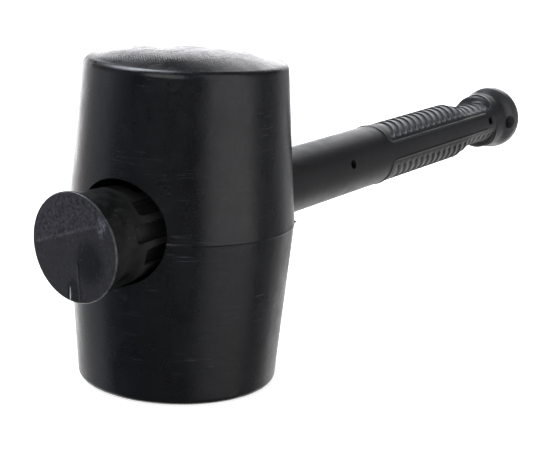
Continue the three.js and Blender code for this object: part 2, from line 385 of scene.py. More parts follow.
def jacket_radius(x):
    """The jacket's own radius from the lip to the grip."""
    back = mix(FLARE_FRONT_RADIUS, FLARE_MID_RADIUS, (x - FACE_X) / (FLARE_MID_X - FACE_X))
    along = mix(FLARE_MID_RADIUS, SHAFT_RADIUS, (x - FLARE_MID_X) / (SHAFT_START_X - FLARE_MID_X))
    shaft = mix(SHAFT_RADIUS, GRIP_RADIUS, (x - SHAFT_START_X) / (GRIP_START_X - SHAFT_START_X))
    body = np.where(x < FLARE_MID_X, back, np.where(x < SHAFT_START_X, along, shaft))
    flare = smooth(x, COLLAR_END_X, POMMEL_X) * (POMMEL_RADIUS - GRIP_RADIUS)
    return np.where(x < GRIP_START_X, body, GRIP_RADIUS + flare)


def eye_point(x, turn, grow):
    """A point of the eye's wall, in the head's frame.

    The eye fits the jacket; its front mouth also widens round a point beside the handle.
    """
    mouth = 1 - smooth(x, -HEAD_MID_RADIUS, 0)
    snug = jacket_radius(x) + EYE_GAP
    aside = turn - EYE_MOUTH_TURN
    shift = EYE_MOUTH_SHIFT * mouth
    wide = mix(snug, EYE_MOUTH_RADIUS, mouth)
    wide = shift * np.cos(aside) + np.sqrt(wide ** 2 - (shift * np.sin(aside)) ** 2)
    radius = (snug + wide + np.hypot(wide - snug, 0.5 * mouth)) / 2 + grow
    y = radius * np.cos(turn)
    z = radius * np.sin(turn)
    head_x = x * math.cos(HANDLE_CANT) - z * math.sin(HANDLE_CANT)
    head_z = x * math.sin(HANDLE_CANT) + z * math.cos(HANDLE_CANT)
    return np.stack([head_x, y, head_z + HEAD_MID + HANDLE_LIFT], axis=-1)


def eye_edge(turn, grow, side):
    """Where the eye's wall meets the head's: the station along the handle at each turn."""
    inner = np.full_like(turn, EYE_SEARCH[0]) * side
    outer = np.full_like(turn, EYE_SEARCH[1]) * side
    for _ in range(EYE_BISECTIONS):
        middle = (inner + outer) / 2
        point = eye_point(middle, turn, grow)
        outside = np.hypot(point[..., 0], point[..., 1]) > head_radius(point[..., 2])
        outer = np.where(outside, middle, outer)
        inner = np.where(outside, inner, middle)
    return (inner + outer) / 2


def eye_mouth(shell, band, block, side):
    """One mouth of the eye with its rounded lip; returns its last ring, stations and turns."""
    middle_angle = math.pi if side < 0 else 0
    ids, z, angle = band.loop(block, mirrored=side < 0)
    way = np.arctan2(z - HEAD_MID, (angle - middle_angle) * HEAD_MID_RADIUS)
    turns = np.linspace(-math.pi, math.pi, EYE_SAMPLES, endpoint=False)
    edge = eye_point(eye_edge(turns, EYE_LIP, side), turns, EYE_LIP)
    edge_angle = np.unwrap(np.arctan2(edge[:, 1], edge[:, 0]) - middle_angle)
    edge_angle = (edge_angle + math.pi) % (2 * math.pi) - math.pi
    edge_way = np.arctan2(edge[:, 2] - HEAD_MID, edge_angle * HEAD_MID_RADIUS)
    order = np.argsort(edge_way)
    sorted_way, sorted_turn = edge_way[order], turns[order]
    around = np.concatenate([sorted_way - 2 * math.pi, sorted_way, sorted_way + 2 * math.pi])
    unit = np.exp(1j * np.concatenate([sorted_turn] * 3))
    turn = np.angle(np.interp(way, around, unit.real) + 1j * np.interp(way, around, unit.imag))
    rim = eye_point(eye_edge(turn, EYE_LIP, side), turn, EYE_LIP)
    rim_angle = (np.arctan2(rim[:, 1], rim[:, 0]) - middle_angle + math.pi) % (2 * math.pi)
    rim_angle = rim_angle - math.pi + middle_angle
    rows = [
        head_wall(mix(z, rim[:, 2], share), mix(angle, rim_angle, share))
        for share in (0.12, 0.28, 0.45, 0.6, 0.73, 0.84, 0.93, 1)
    ]
    corner_x = eye_edge(turn, 0, side)
    corner = eye_point(corner_x, turn, 0)
    start_x = corner_x - side * EYE_LIP * 1.3
    inside = eye_point(start_x, turn, 0)
    for t in (0.2, 0.4, 0.6, 0.8, 1):
        rows.append((1 - t) ** 2 * rim + 2 * t * (1 - t) * corner + t * t * inside)
    return shell.rings(ids, rows), start_x, turn


def build_head():
    shell = Shell()
    columns = np.linspace(-math.pi / 2, 1.5 * math.pi, HEAD_COLUMNS, endpoint=False)
    rows = head_rows()
    low, high = row_at(rows, HEAD_MID - EYE_ROWS[0]), row_at(rows, HEAD_MID + EYE_ROWS[1])
    blocks = {}
    for side, middle, before, after in EYE_COLUMNS:
        c = int(np.argmin(np.abs(columns - middle)))
        blocks[side] = (low, high, c - before, c + after)
    band = Band(shell, rows, columns, head_wall, blocks.values())
    rim_and_face(shell, band.ids[-1], columns, upper=True)
    rim_and_face(shell, band.ids[0], columns, upper=False)
    front, front_x, front_turn = eye_mouth(shell, band, blocks[-1], -1)
    rear, rear_x, rear_turn = eye_mouth(shell, band, blocks[1], 1)
    rear_turn = front_turn + (rear_turn - front_turn + math.pi) % (2 * math.pi) - math.pi
    shares = np.linspace(0, 1, 14)[1:-1]
    walls = [
        eye_point(mix(front_x, rear_x, share), mix(front_turn, rear_turn, share), 0)
        for share in shares
    ]
    shell.bridge(shell.rings(front, walls), rear)
    return shell.to_object("head_moulding")


# --- Handle jacket ---

SECTOR = math.radians(15)  # from the middle of a pocket to the middle of a fin
STRIP_HALF = 2.8 / GRIP_RADIUS  # edge of the plain strip along the handle's side
SECTOR_COLUMNS = (0, 1.8, 3.6, 5.4, 7.0, 8.4, 9.4, 10.0, 10.4, 10.66, 10.95)
SIDES = (math.pi, 0)  # the side towards -Y and the side towards +Y


def jacket_columns():
    """Angles from +Y towards +Z, close together at the pockets' walls."""
    half = [math.radians(a) for a in SECTOR_COLUMNS]
    half += [STRIP_HALF, math.radians(12.7), math.radians(13.9), SECTOR]
    sector = [-a for a in half[:0:-1]] + half[:-1]
    start = -math.radians(60)
    turns = [math.radians(30) * n for n in range(12)]
    return np.array([start + turn + a for turn in turns for a in sector])


def pinch(x, angle, radius):
    """The finger recess: top and bottom sink in along the neck."""
    depth = smooth(x, NECK_START_X, NECK_FULL_X) - smooth(x, NECK_STEP_X, NECK_END_X)
    return radius * (1 - NECK_FLATTENING * depth * np.sin(angle) ** 2)


def round_handle(x, angle, radius):
    return np.stack([x + 0 * radius, radius * np.cos(angle), radius * np.sin(angle)], axis=-1)


def pocket_depth(x, angle):
    """How far the surface sinks into the pockets between the fins."""
    pitch = 2 * math.pi / FIN_COUNT
    turn = (angle + pitch / 2) % pitch - pitch / 2
    number = np.round(angle / pitch).astype(int) % (FIN_COUNT // 2)
    start = np.array(POCKET_STARTS)[np.minimum(number, FIN_COUNT // 2 - number)]
    half = pitch / 2 * FLARE_MID_RADIUS - FIN_WIDTH / 2
    across = half - np.abs(turn) * FLARE_MID_RADIUS
    along = np.minimum((x - start) * POCKET_WALL / POCKET_RAMP, POCKET_END_X - x)
    corner = np.maximum(POCKET_CORNER - across, 0), np.maximum(POCKET_CORNER - along, 0)
    rounded = POCKET_CORNER - np.hypot(*corner)
    in_corner = (across < POCKET_CORNER) & (along < POCKET_CORNER)
    inside = np.where(in_corner, rounded, np.minimum(across, along))
    return POCKET_DEPTH * smooth(inside, -0.06, POCKET_WALL)


def line_mark(y, z, start, end, width):
    """1 on a straight stroke between two points of the face, 0 beside it."""
    start, end = np.array(start, float), np.array(end, float)
    along = end - start
    share = ((y - start[0]) * along[0] + (z - start[1]) * along[1]) / (along @ along)
    share = np.clip(share, 0, 1)
    off = np.hypot(y - start[0] - share * along[0], z - start[1] - share * along[1])
    return np.exp(-((off / width) ** 2)) * smooth(share, -0.1, 0.15) * (1 - smooth(share, 0.85, 1.1))


FACE_MARKS = (  # height, start, end and width of each stroke on the flare's end face
    (0.2, (17.9, -0.3), (2.9, 4.8), 0.55),
    (0.2, (2.9, 4.8), (-10.6, 9.9), 0.55),
    (0.1, (-1.8, -5.6), (-2.1, -11.2), 0.4),
    (0.14, (-2.1, -11.2), (-2.9, -20.3), 0.4),
    (-0.16, (2.5, -15.7), (2.2, -21.4), 0.28),
    (-0.12, (-14.5, 13.4), (-14.9, 9.9), 0.8),
)


def face_relief(y, z):
    """The moulding marks and knocks of the flare's end face, in its own turned frame."""
    return sum(height * line_mark(y, z, *stroke) for height, *stroke in FACE_MARKS)


def jacket_skin(row, angle):
    """Points of the jacket for rows of (station, radius)."""
    x, radius = row[..., 0], row[..., 1]
    on_flare = (x > FACE_X + LIP_WIDTH + 1) & (x < 0)
    radius = radius - np.where(on_flare, pocket_depth(x, angle), 0)
    from_side = np.abs((angle + math.pi / 2) % math.pi - math.pi / 2)
    across = (1 - smooth(from_side, 0.19, 0.23)) * bell(x, STRIP_BAR_X, 0.35)
    radius = radius + STRIP_BAR_HEIGHT * across
    points = round_handle(x, angle, pinch(x, angle, radius))
    on_face = (x <= FACE_X + 1e-6) & (radius < LIP_RADIUS)
    y = points[..., 1] * math.cos(HANDLE_ROLL) + points[..., 2] * math.sin(HANDLE_ROLL)
    z = points[..., 2] * math.cos(HANDLE_ROLL) - points[..., 1] * math.sin(HANDLE_ROLL)
    edge = 1 - smooth(radius, LIP_RADIUS - 1.6, LIP_RADIUS - LIP_EDGE)
    points[..., 0] -= np.where(on_face, face_relief(y, z) * edge, 0)
    return points


def skin_at(x, angle):
    return jacket_skin(np.stack([x, jacket_radius(x)], axis=-1), angle)


def jacket_rows():
    """(station, radius) from the middle of the face over the lip to the butt."""
    lip_back = FACE_X + LIP_WIDTH
    rows = [(FACE_X, r) for r in steps(0.5, LIP_RADIUS - LIP_EDGE, 0.5)]
    for turn in np.linspace(0, math.pi / 2, 6):
        x = FACE_X + LIP_EDGE * (1 - math.cos(turn))
        rows.append((x, LIP_RADIUS - LIP_EDGE * (1 - math.sin(turn))))
    for turn in np.linspace(0, math.pi / 2, 5):
        x = lip_back - LIP_EDGE * (1 - math.sin(turn))
        rows.append((x, LIP_RADIUS - LIP_EDGE * (1 - math.cos(turn))))
    foot = lip_back + 0.5
    base = float(jacket_radius(foot))
    rows += [(lip_back + 0.02, base + 0.5), (lip_back + 0.16, base + 0.15), (foot, base)]
    spacings = [
        (foot + 0.6, 0.8),
        (POCKET_STARTS[0] - 0.5, 0.3),
        (POCKET_STARTS[-1] + 8, 1.5),
        (POCKET_END_X - 0.8, 0.1),
        (POCKET_END_X + 0.4, 2.4),
        (PIN_HOLE_X[0] - PIN_BLOCK, PIN_SPACING),
        (PIN_HOLE_X[0] + PIN_BLOCK, 2.2),
        (PANEL_START_X - 0.5, 0.55),
        (PANEL_START_X + 6, 1.1),
        (PIN_HOLE_X[1] - PIN_BLOCK, PIN_SPACING),
        (PIN_HOLE_X[1] + PIN_BLOCK, 0.16),
        (STRIP_BAR_X + 1, 0.55),
        (PANEL_END_X + 0.5, 0.45),
        (HANG_HOLE_X + HANG_BLOCK[1], 0.5),
        (POMMEL_X + POMMEL_LAND, 0),
    ]
    stations = []
    for (start, spacing), (end, _) in zip(spacings, spacings[1:]):
        stations += steps(start, end, spacing)
    rows += [(x, float(jacket_radius(x))) for x in sorted(stations)]
    for turn in np.linspace(0, math.pi / 2, 12):
        x = POMMEL_X + POMMEL_LAND + BUTT_ROUND * math.sin(turn)
        rows.append((x, POMMEL_RADIUS - BUTT_ROUND * (1 - math.cos(turn))))
    rows += [(BUTT_X, r) for r in (10, 8.5, 7, 5, 3, 1.5)]
    return np.array(rows)


def hole_mouth(shell, band, block, centre, radius, lip, surface, radius_at, mirrored=False, turn=None):
    """The mouth of a round hole, with a rounded edge if lip is given.

    Returns its last ring and the turn of each of the ring's points about the hole.
    """
    x0, a0 = centre
    ids, row, angle = band.loop(block, mirrored)
    x = row[:, 0] if row.ndim > 1 else row
    if turn is None:
        turn = np.arctan2(radius_at(x0) * np.sin(angle - a0), x - x0)

    def circle(reach):
        cx = x0 + reach * np.cos(turn)
        return cx, a0 + np.arcsin(reach * np.sin(turn) / radius_at(cx))

    rim_x, rim_a = circle(radius + lip)
    rows = [surface(mix(x, rim_x, s), mix(angle, rim_a, s)) for s in (0.3, 0.6, 0.85, 1)]
    if lip:
        rim, corner = rows[-1], surface(*circle(radius))
        inside = corner - lip * np.array([0, math.cos(a0), math.sin(a0)])
        for t in (0.25, 0.5, 0.75, 1):
            rows.append((1 - t) ** 2 * rim + 2 * t * (1 - t) * corner + t * t * inside)
    return shell.rings(ids, rows), turn


def to_outline(x, across, low_x, high_x, half, inset):
    """Squeezes a rectangle into a grip panel's rounded outline, which is inset from its edge.

    The rectangle runs from low_x to high_x and half to each side. Its border lands on the
    outline, and points in its middle stay where they are.
    """
    core_x = np.clip(x, PANEL_START_X + PANEL_CORNER, PANEL_END_X - PANEL_CORNER)
    core_half = PANEL_HALF_WIDTH - PANEL_CORNER
    core_s = np.clip(across, -core_half, core_half)
    room_x = np.where(x < core_x, core_x - low_x, high_x - core_x)
    share_x = (x - core_x) / room_x
    share_s = (across - core_s) / (half - core_half)
    length = np.maximum(np.hypot(share_x, share_s), 1e-9)
    reach = (PANEL_CORNER - inset) * np.maximum(np.abs(share_x), np.abs(share_s)) / length
    return core_x + share_x * reach, core_s + share_s * reach


def panel_floor(shell, wall, shape, x, across, middle, radius):
    """A plain patch at one depth that closes a panel or its recess, inside the ring wall."""
    ids = np.full(shape, -1)
    inner = np.zeros(shape, bool)
    inner[1:-1, 1:-1] = True
    a = across[inner] / GRIP_RADIUS + middle
    ids[inner] = shell.add(round_handle(x[inner], a, pinch(x[inner], a, radius + 0 * a)))
    ids[border_path(shape[0] - 1, shape[1] - 1)] = wall
    fill_grid(shell, ids)


def panel_recess(shell, band, block, middle):
    """The recess that a grip panel lies in: its edge, its wall and its floor."""
    r0, r1, c0, c1 = block
    low_x, high_x = band.rows[r0, 0], band.rows[r1, 0]
    half = (band.angle(np.array(c1)) - band.angle(np.array(c0))) / 2 * GRIP_RADIUS
    ids, row, angle = band.loop(block)
    x, across = row[:, 0], (angle - middle) * GRIP_RADIUS
    edge_x, edge_s = to_outline(x, across, low_x, high_x, half, -PANEL_GAP)
    rows = []
    for share in (0.5, 0.85, 0.97, 0.99, 1):
        a = mix(across, edge_s, share) / GRIP_RADIUS + middle
        rows.append(skin_at(mix(x, edge_x, share), a))
    floor = GRIP_RADIUS - PANEL_THICKNESS - PANEL_GAP
    edge_a = edge_s / GRIP_RADIUS + middle
    for radius in (GRIP_RADIUS - 0.04, GRIP_RADIUS - 0.15, GRIP_RADIUS - 1, floor):
        rows.append(round_handle(edge_x, edge_a, pinch(edge_x, edge_a, radius + 0 * edge_x)))
    wall = shell.rings(ids, rows)
    r, c = np.meshgrid(np.arange(r0, r1 + 1), np.arange(c0, c1 + 1), indexing="ij")
    grid_s = (band.angle(c) - middle) * GRIP_RADIUS
    fitted = to_outline(band.rows[r, 0], grid_s, low_x, high_x, half, -PANEL_GAP)
    panel_floor(shell, wall, r.shape, *fitted, middle, floor)


def build_bore(shell, mouths):
    """The bore for the core rod, with its openings to the pin holes."""
    radius = CORE_RADIUS + FIT_GAP
    cells = len(SECTOR_COLUMNS) * 2
    opening = math.radians(27)
    near = list(np.linspace(-opening, opening, cells, endpoint=False))
    far = list(np.linspace(opening, math.pi - opening, 14, endpoint=False))
    columns = near + far
    columns += [a + math.pi for a in columns]
    rows = [CORE_START_X - FIT_GAP] + steps(-40, PIN_HOLE_X[0] - PIN_BLOCK, 20)
    for x0, after in zip(PIN_HOLE_X, (PIN_HOLE_X[1] - PIN_BLOCK, CORE_END_X)):
        rows += steps(x0 - PIN_BLOCK, x0 + PIN_BLOCK, PIN_SPACING) + steps(x0 + PIN_BLOCK, after, 20)
    rows += [CORE_END_X + FIT_GAP]

    def surface(x, angle):
        return round_handle(x, angle, radius + 0 * x)

    blocks = {}
    for x0 in PIN_HOLE_X:
        r0 = row_at(rows, x0 - PIN_BLOCK)
        for side, c0 in ((math.pi, len(columns) // 2), (0, 0)):
            blocks[x0, side] = (r0, r0 + PIN_ROWS, c0, c0 + cells)
    band = Band(shell, rows, columns, surface, blocks.values())
    for (x0, side), block in blocks.items():
        ring, turn = mouths[x0, side]
        mouth, _ = hole_mouth(
            shell, band, block, (x0, side), PIN_HOLE_RADIUS, 0, surface, lambda x: radius, turn=turn
        )
        shell.bridge(ring, mouth)
    shell.fan(band.ids[0], (CORE_START_X - FIT_GAP, 0, 0))
    shell.fan(band.ids[-1], (CORE_END_X + FIT_GAP, 0, 0))


def build_jacket():
    shell = Shell()
    rows, columns = jacket_rows(), jacket_columns()
    per_turn = len(columns)
    stations = rows[:, 0]

    def column_at(angle):
        return int(np.argmin(np.abs((columns - angle + math.pi) % (2 * math.pi) - math.pi)))

    def block_round(x0, x1, start, end):
        c0 = column_at(start)
        c1 = column_at(end)
        return row_at(stations, x0), row_at(stations, x1), c0, c1 + (c1 < c0) * per_turn

    pins, hangs, recesses = {}, {}, {}
    for side in SIDES:
        for x0 in PIN_HOLE_X:
            ends = side - STRIP_HALF, side + STRIP_HALF
            pins[x0, side] = block_round(x0 - PIN_BLOCK, x0 + PIN_BLOCK, *ends)
        centre = side + HANDLE_ROLL
        ends = centre - HANG_BLOCK_REACH, centre + HANG_BLOCK_REACH
        hangs[side] = block_round(HANG_HOLE_X - HANG_BLOCK[0], HANG_HOLE_X + HANG_BLOCK[1], *ends)
        middle = side + math.pi / 2
        start, end = side + STRIP_HALF, side + math.pi - STRIP_HALF
        recesses[middle] = block_round(PANEL_START_X - 0.5, PANEL_END_X + 0.5, start, end)
    blocks = [*pins.values(), *hangs.values(), *recesses.values()]
    band = Band(shell, rows, columns, jacket_skin, blocks)
    shell.fan(band.ids[0], (FACE_X, 0, 0))
    shell.fan(band.ids[-1], (BUTT_X, 0, 0))
    for middle, block in recesses.items():
        start = float(band.angle(np.array(block[2])))
        panel_recess(shell, band, block, start + (math.pi / 2 - STRIP_HALF))
    mouths = {}
    for (x0, side), block in pins.items():
        centre = (x0, centre_angle(band, block))
        mouths[x0, side] = hole_mouth(
            shell, band, block, centre, PIN_HOLE_RADIUS, PIN_HOLE_LIP, skin_at, jacket_radius
        )
    build_bore(shell, mouths)
    ends = []
    for side, block in hangs.items():
        centre = (HANG_HOLE_X, centre_angle(band, block))
        ring, _ = hole_mouth(
            shell, band, block, centre, HANG_HOLE_RADIUS, HANG_HOLE_LIP, skin_at, jacket_radius,
            mirrored=side == 0,
        )
        ends.append(ring)
    shell.bridge(*ends)
    return shell.to_object("jacket_moulding", TO_HEAD)


def centre_angle(band, block):
    """The angle half way across a block."""
    return float(band.angle(np.array(block[2])) + band.angle(np.array(block[3]))) / 2


# --- Grip panels ---

FIELD_INSET = 1.3  # from a panel's edge to the ribbed field


def groove_lines(across):
    """Station of every groove at each place across a panel: crescents towards the pommel."""
    number = np.arange(GROOVE_COUNT)[:, None]
    bulge = mix(FIRST_BULGE, LAST_BULGE, number / (GROOVE_COUNT - 1))
    share = np.clip(np.abs(across) / GRIP_RADIUS / RIB_END_ANGLE, 0, 1)
    return FIRST_GROOVE_X + number * RIB_PITCH + bulge * np.cos(share * math.pi / 2)


def panel_field():
    """Stations and places across of the ribbed field, its rows following the grooves."""
    half = PANEL_HALF_WIDTH - FIELD_INSET
    across = np.linspace(-half, half, 65)
    grooves = groove_lines(across)
    start = 0 * across + PANEL_START_X + FIELD_INSET
    end = 0 * across + PANEL_END_X - FIELD_INSET
    near = np.array([-0.95, -0.5, -0.2, -0.06, 0, 0.06, 0.12, 0.19, 0.26, 0.32, 0.38, 0.46, 0.65, 0.95])
    rows = [mix(start, grooves[0] - 0.95, share) for share in np.linspace(0, 1, 10, endpoint=False)]
    for number, groove in enumerate(grooves):
        rows += [groove + offset for offset in near]
        after = grooves[number + 1] - 0.95 if number + 1 < GROOVE_COUNT else end
        rows += [mix(groove + 0.95, after, share) for share in (0.17, 0.34, 0.5, 0.66, 0.83)]
    rows.append(end)
    x = np.array(rows)
    return x, np.broadcast_to(across, x.shape)


def rib_relief(x, across):
    """How far the panel sinks along its ribs, which lie like scales."""
    grooves = groove_lines(across.ravel()).reshape(GROOVE_COUNT, *across.shape)
    past = np.full(x.shape, RIB_PITCH) + np.minimum(x - grooves[0], 0)
    for groove in grooves:
        past = np.where(x >= groove, x - groove, past)
    slope = RIB_STEP * np.clip(past / RIB_PITCH, 0, 1) ** 1.5
    step = RIB_STEP * (1 - smooth(past, 0, RIB_STEP_WIDTH))
    relief = np.where(past < RIB_PITCH / 2, np.maximum(slope, np.where(x >= grooves[0], step, 0)), slope)
    relief = relief * (1 - smooth(x - grooves[-1], 1.5, 3.5))
    angle = np.abs(across) / GRIP_RADIUS
    return relief * (1 - smooth(angle, RIB_END_ANGLE - 0.14, RIB_END_ANGLE))


def build_panel(name, middle):
    shell = Shell()
    x, across = panel_field()
    low_x, high_x = PANEL_START_X + FIELD_INSET, PANEL_END_X - FIELD_INSET
    half = PANEL_HALF_WIDTH - FIELD_INSET
    field_x, field_s = to_outline(x, across, low_x, high_x, half, FIELD_INSET)
    a = field_s / GRIP_RADIUS + middle
    relief = rib_relief(field_x, field_s)
    top = round_handle(field_x, a, pinch(field_x, a, GRIP_RADIUS - relief))
    ids = shell.add(top).reshape(x.shape)
    fill_grid(shell, ids)
    path = border_path(x.shape[0] - 1, x.shape[1] - 1)
    rows = []
    for inset, drop in (
        (1.2, 0), (1.08, 0), (0.95, 0), (0.85, 0), (0.75, 0), (0.65, 0), (0.55, 0), (0.42, 0),
        (0.28, 0), (0.12, 0), (0.04, 0), (0.01, 0.01), (0, 0.04), (0, 0.15), (0, 1), (0, PANEL_THICKNESS),
    ):
        edge_x, edge_s = to_outline(x[path], across[path], low_x, high_x, half, inset)
        edge_a = edge_s / GRIP_RADIUS + middle
        rise = math.sqrt(max(0, 1 - ((inset - BEAD_OFFSET) / (BEAD_WIDTH / 2)) ** 2))
        rise = BEAD_HEIGHT * rise * (1 - smooth(edge_x, BEAD_END_X - 2, BEAD_END_X + 2))
        rows.append(round_handle(edge_x, edge_a, pinch(edge_x, edge_a, GRIP_RADIUS - drop + rise)))
    wall = shell.rings(ids[path], rows)
    flat = to_outline(x, across, low_x, high_x, half, 0)
    panel_floor(shell, wall, x.shape, *flat, middle, GRIP_RADIUS - PANEL_THICKNESS)
    return shell.to_object(name, TO_HEAD)


# --- Materials ---

COLOUR_SOCKETS = slice(6, 8)  # the two colours of a mix node
COLOUR_RESULT = 2
HATCH_PITCH = 1.25
FACE_LINE = (0.337, 0.9415)  # across the moulding line of the flare's end face
FACE_LINE_PLACE = 5.65
DARK_PATCH = (-8, -4.5), (6.5, 8)  # marks on that face: middle and reach
LOWER_PATCH = (0.6, -17.5), (3.0, 5.5)
SMUDGE = (-14.0, 10.4), (1.9, 3.8)
SCRATCH = (2.35, -18.4), (0.28, 2.9)
FLARE_TONE_X = (-20, -30)
# stations where the fin tops inside the eye are painted lighter: painted light in the head's shade
PAINTED_LIGHT_EYE_X = (-46, -40)
FIN_TOP_RADIUS = (17.6, 18.2)
# radii below which the pocket floors are painted lighter: painted light in the pockets' shade
POCKET_FLOOR_LIGHT_RADIUS = (17.2, 16.4)
# where the lip's outer edge is lighter: wear and a painted highlight
LIP_EDGE_RADIUS = (20.5, 20.75)
LIP_EDGE_X = (-60.1, -60.5)

class Nodes:
    """A tree of shader nodes while it is put together."""

    def __init__(self, tree):
        self.tree = tree

    def node(self, kind):
        return self.tree.nodes.new("ShaderNode" + kind)

    def link(self, source, socket):
        if isinstance(source, (int, float, tuple)):
            socket.default_value = source
        else:
            self.tree.links.new(source, socket)

    def operate(self, kind, operation, values):
        node = self.node(kind)
        node.operation = operation
        for value, socket in zip(values, node.inputs):
            self.link(value, socket)
        return node.outputs[0]

    def math(self, operation, a, b=0.0):
        return self.operate("Math", operation, (a, b))

    def times(self, a, b):
        return self.math("MULTIPLY", a, b)

    def plus(self, a, b):
        return self.math("ADD", a, b)

    def minus(self, a, b):
        return self.math("SUBTRACT", a, b)

    def spread(self, value, low, high, start=0.0, end=1.0, kind="LINEAR"):
        """Maps low..high of a value to start..end, held at both ends."""
        node = self.node("MapRange")
        node.interpolation_type = kind
        for source, name in ((value, "Value"), (low, "From Min"), (high, "From Max"),
                             (start, "To Min"), (end, "To Max")):
            self.link(source, node.inputs[name])
        return node.outputs["Result"]


class Recipe(Nodes):
    """A procedural material, on object coordinates in millimetres."""

    def __init__(self, name):
        self.material = bpy.data.materials.new(name)
        self.material.use_nodes = True
        super().__init__(self.material.node_tree)
        self.shader = self.tree.nodes["Principled BSDF"]
        place = self.node("TexCoord").outputs["Object"]
        self.place = self.operate("VectorMath", "MULTIPLY", (place, (1 / MM,) * 3))

    def noise(self, size, detail=3.0, stretch=(1, 1, 1), roughness=0.5, distortion=0.0):
        """Noise from 0 to 1 with features about size millimetres across."""
        node = self.node("TexNoise")
        place = self.operate("VectorMath", "MULTIPLY", (self.place, stretch))
        self.link(place, node.inputs["Vector"])
        node.inputs["Scale"].default_value = 1 / size
        node.inputs["Detail"].default_value = detail
        node.inputs["Roughness"].default_value = roughness
        node.inputs["Distortion"].default_value = distortion
        return node.outputs["Fac"]

    def blend(self, share, a, b):
        """Colour a, or b where share is 1."""
        node = self.node("Mix")
        node.data_type = "RGBA"
        self.link(share, node.inputs["Factor"])
        for colour, socket in zip((a, b), node.inputs[COLOUR_SOCKETS]):
            self.link(colour, socket)
        return node.outputs[COLOUR_RESULT]

    def bump(self, height, distance, strength, normal=None):
        node = self.node("Bump")
        node.inputs["Distance"].default_value = distance * MM
        node.inputs["Strength"].default_value = strength
        self.link(height, node.inputs["Height"])
        if normal is not None:
            self.link(normal, node.inputs["Normal"])
        return node.outputs["Normal"]

    def coordinate(self, axis):
        node = self.node("SeparateXYZ")
        self.link(self.place, node.inputs[0])
        return node.outputs[axis]

    def finish(self, colour, roughness, normal):
        self.link(colour, self.shader.inputs["Base Color"])
        self.link(roughness, self.shader.inputs["Roughness"])
        self.link(normal, self.shader.inputs["Normal"])
        return self.material


def scratches(recipe, size, stretch, low, high):
    """Thin broken strokes along one direction, 0 to 1."""
    strokes = recipe.noise(size, 2.0, stretch, 0.6, 0.3)
    patches = recipe.noise(size * 9, 1.0)
    return recipe.times(recipe.spread(strokes, low, high), recipe.spread(patches, 0.5, 0.62))


def head_rubber():
    recipe = Recipe("head_rubber")
    height = recipe.coordinate("Z")
    upper = recipe.spread(height, HEAD_HEIGHT - ROLL_OFF, HEAD_HEIGHT)
    on_face = recipe.plus(recipe.spread(height, 0.1, 0.02), upper)
    bloom = recipe.spread(recipe.noise(34, 4.0, (1, 1, 0.5), 0.6), 0.35, 0.7)
    colour = recipe.blend(bloom, (0.0026, 0.0028, 0.0033, 1), (0.0046, 0.0052, 0.0068, 1))
    scuffs = scratches(recipe, 5, (1, 1, 9), 0.6, 0.72)
    colour = recipe.blend(recipe.times(scuffs, 0.45), colour, (0.03, 0.031, 0.033, 1))
    rings = recipe.noise(1.3, 3.0, (0.06, 0.06, 2), 0.7)
    hairs = scratches(recipe, 2.6, (0.22, 0.22, 6), 0.62, 0.7)
    colour = recipe.blend(recipe.times(hairs, 0.5), colour, (0.05, 0.052, 0.058, 1))
    dust = recipe.spread(recipe.noise(0.8, 2.0), 0.71, 0.77)
    colour = recipe.blend(recipe.times(dust, 0.4), colour, (0.06, 0.06, 0.06, 1))
    roughness = recipe.spread(recipe.noise(9, 6.0, (1, 1, 0.6), 0.7), 0.32, 0.68, 0.18, 0.36)
    roughness = recipe.plus(roughness, recipe.times(rings, 0.06))
    roughness = recipe.plus(roughness, recipe.times(on_face, -0.08))
    warp = recipe.noise(14, 2.0)
    hatch = 0
    for axis in ("X", "Y"):
        wave = recipe.times(recipe.coordinate(axis), 2 * math.pi / HATCH_PITCH)
        wave = recipe.math("SINE", recipe.plus(wave, recipe.times(warp, 5.0)))
        hatch = recipe.plus(hatch, wave)
    hatch = recipe.times(recipe.times(hatch, on_face), recipe.noise(9, 2.0))
    normal = recipe.bump(recipe.noise(0.45, 2.0), 0.02, 0.3)
    calm = recipe.minus(1, recipe.times(on_face, 0.75))
    swell = recipe.times(recipe.noise(7, 4.0, (1, 1, 1), 0.6), calm)
    normal = recipe.bump(swell, 0.3, 0.3, normal)
    normal = recipe.bump(rings, 0.05, 0.45, normal)
    normal = recipe.bump(hatch, 0.06, 0.6, normal)
    return recipe.finish(colour, roughness, normal)


def handle_place(recipe):
    """Station along the handle, and the two places across it that do not follow its roll."""
    x, lift = recipe.coordinate("X"), recipe.minus(recipe.coordinate("Z"), HEAD_MID + HANDLE_LIFT)
    cos, sin = math.cos(HANDLE_CANT), math.sin(HANDLE_CANT)
    station = recipe.plus(recipe.times(x, cos), recipe.times(lift, sin))
    rise = recipe.minus(recipe.times(lift, cos), recipe.times(x, sin))
    return station, recipe.coordinate("Y"), rise


def spot(recipe, y, z, centre, reach, soft):
    """1 inside an oval of the flare's end face, 0 outside."""
    across = recipe.times(recipe.minus(y, centre[0]), 1 / reach[0])
    upward = recipe.times(recipe.minus(z, centre[1]), 1 / reach[1])
    squares = [recipe.times(a, a) for a in (across, upward)]
    return recipe.spread(recipe.plus(*squares), 1 + soft, 1 - soft)


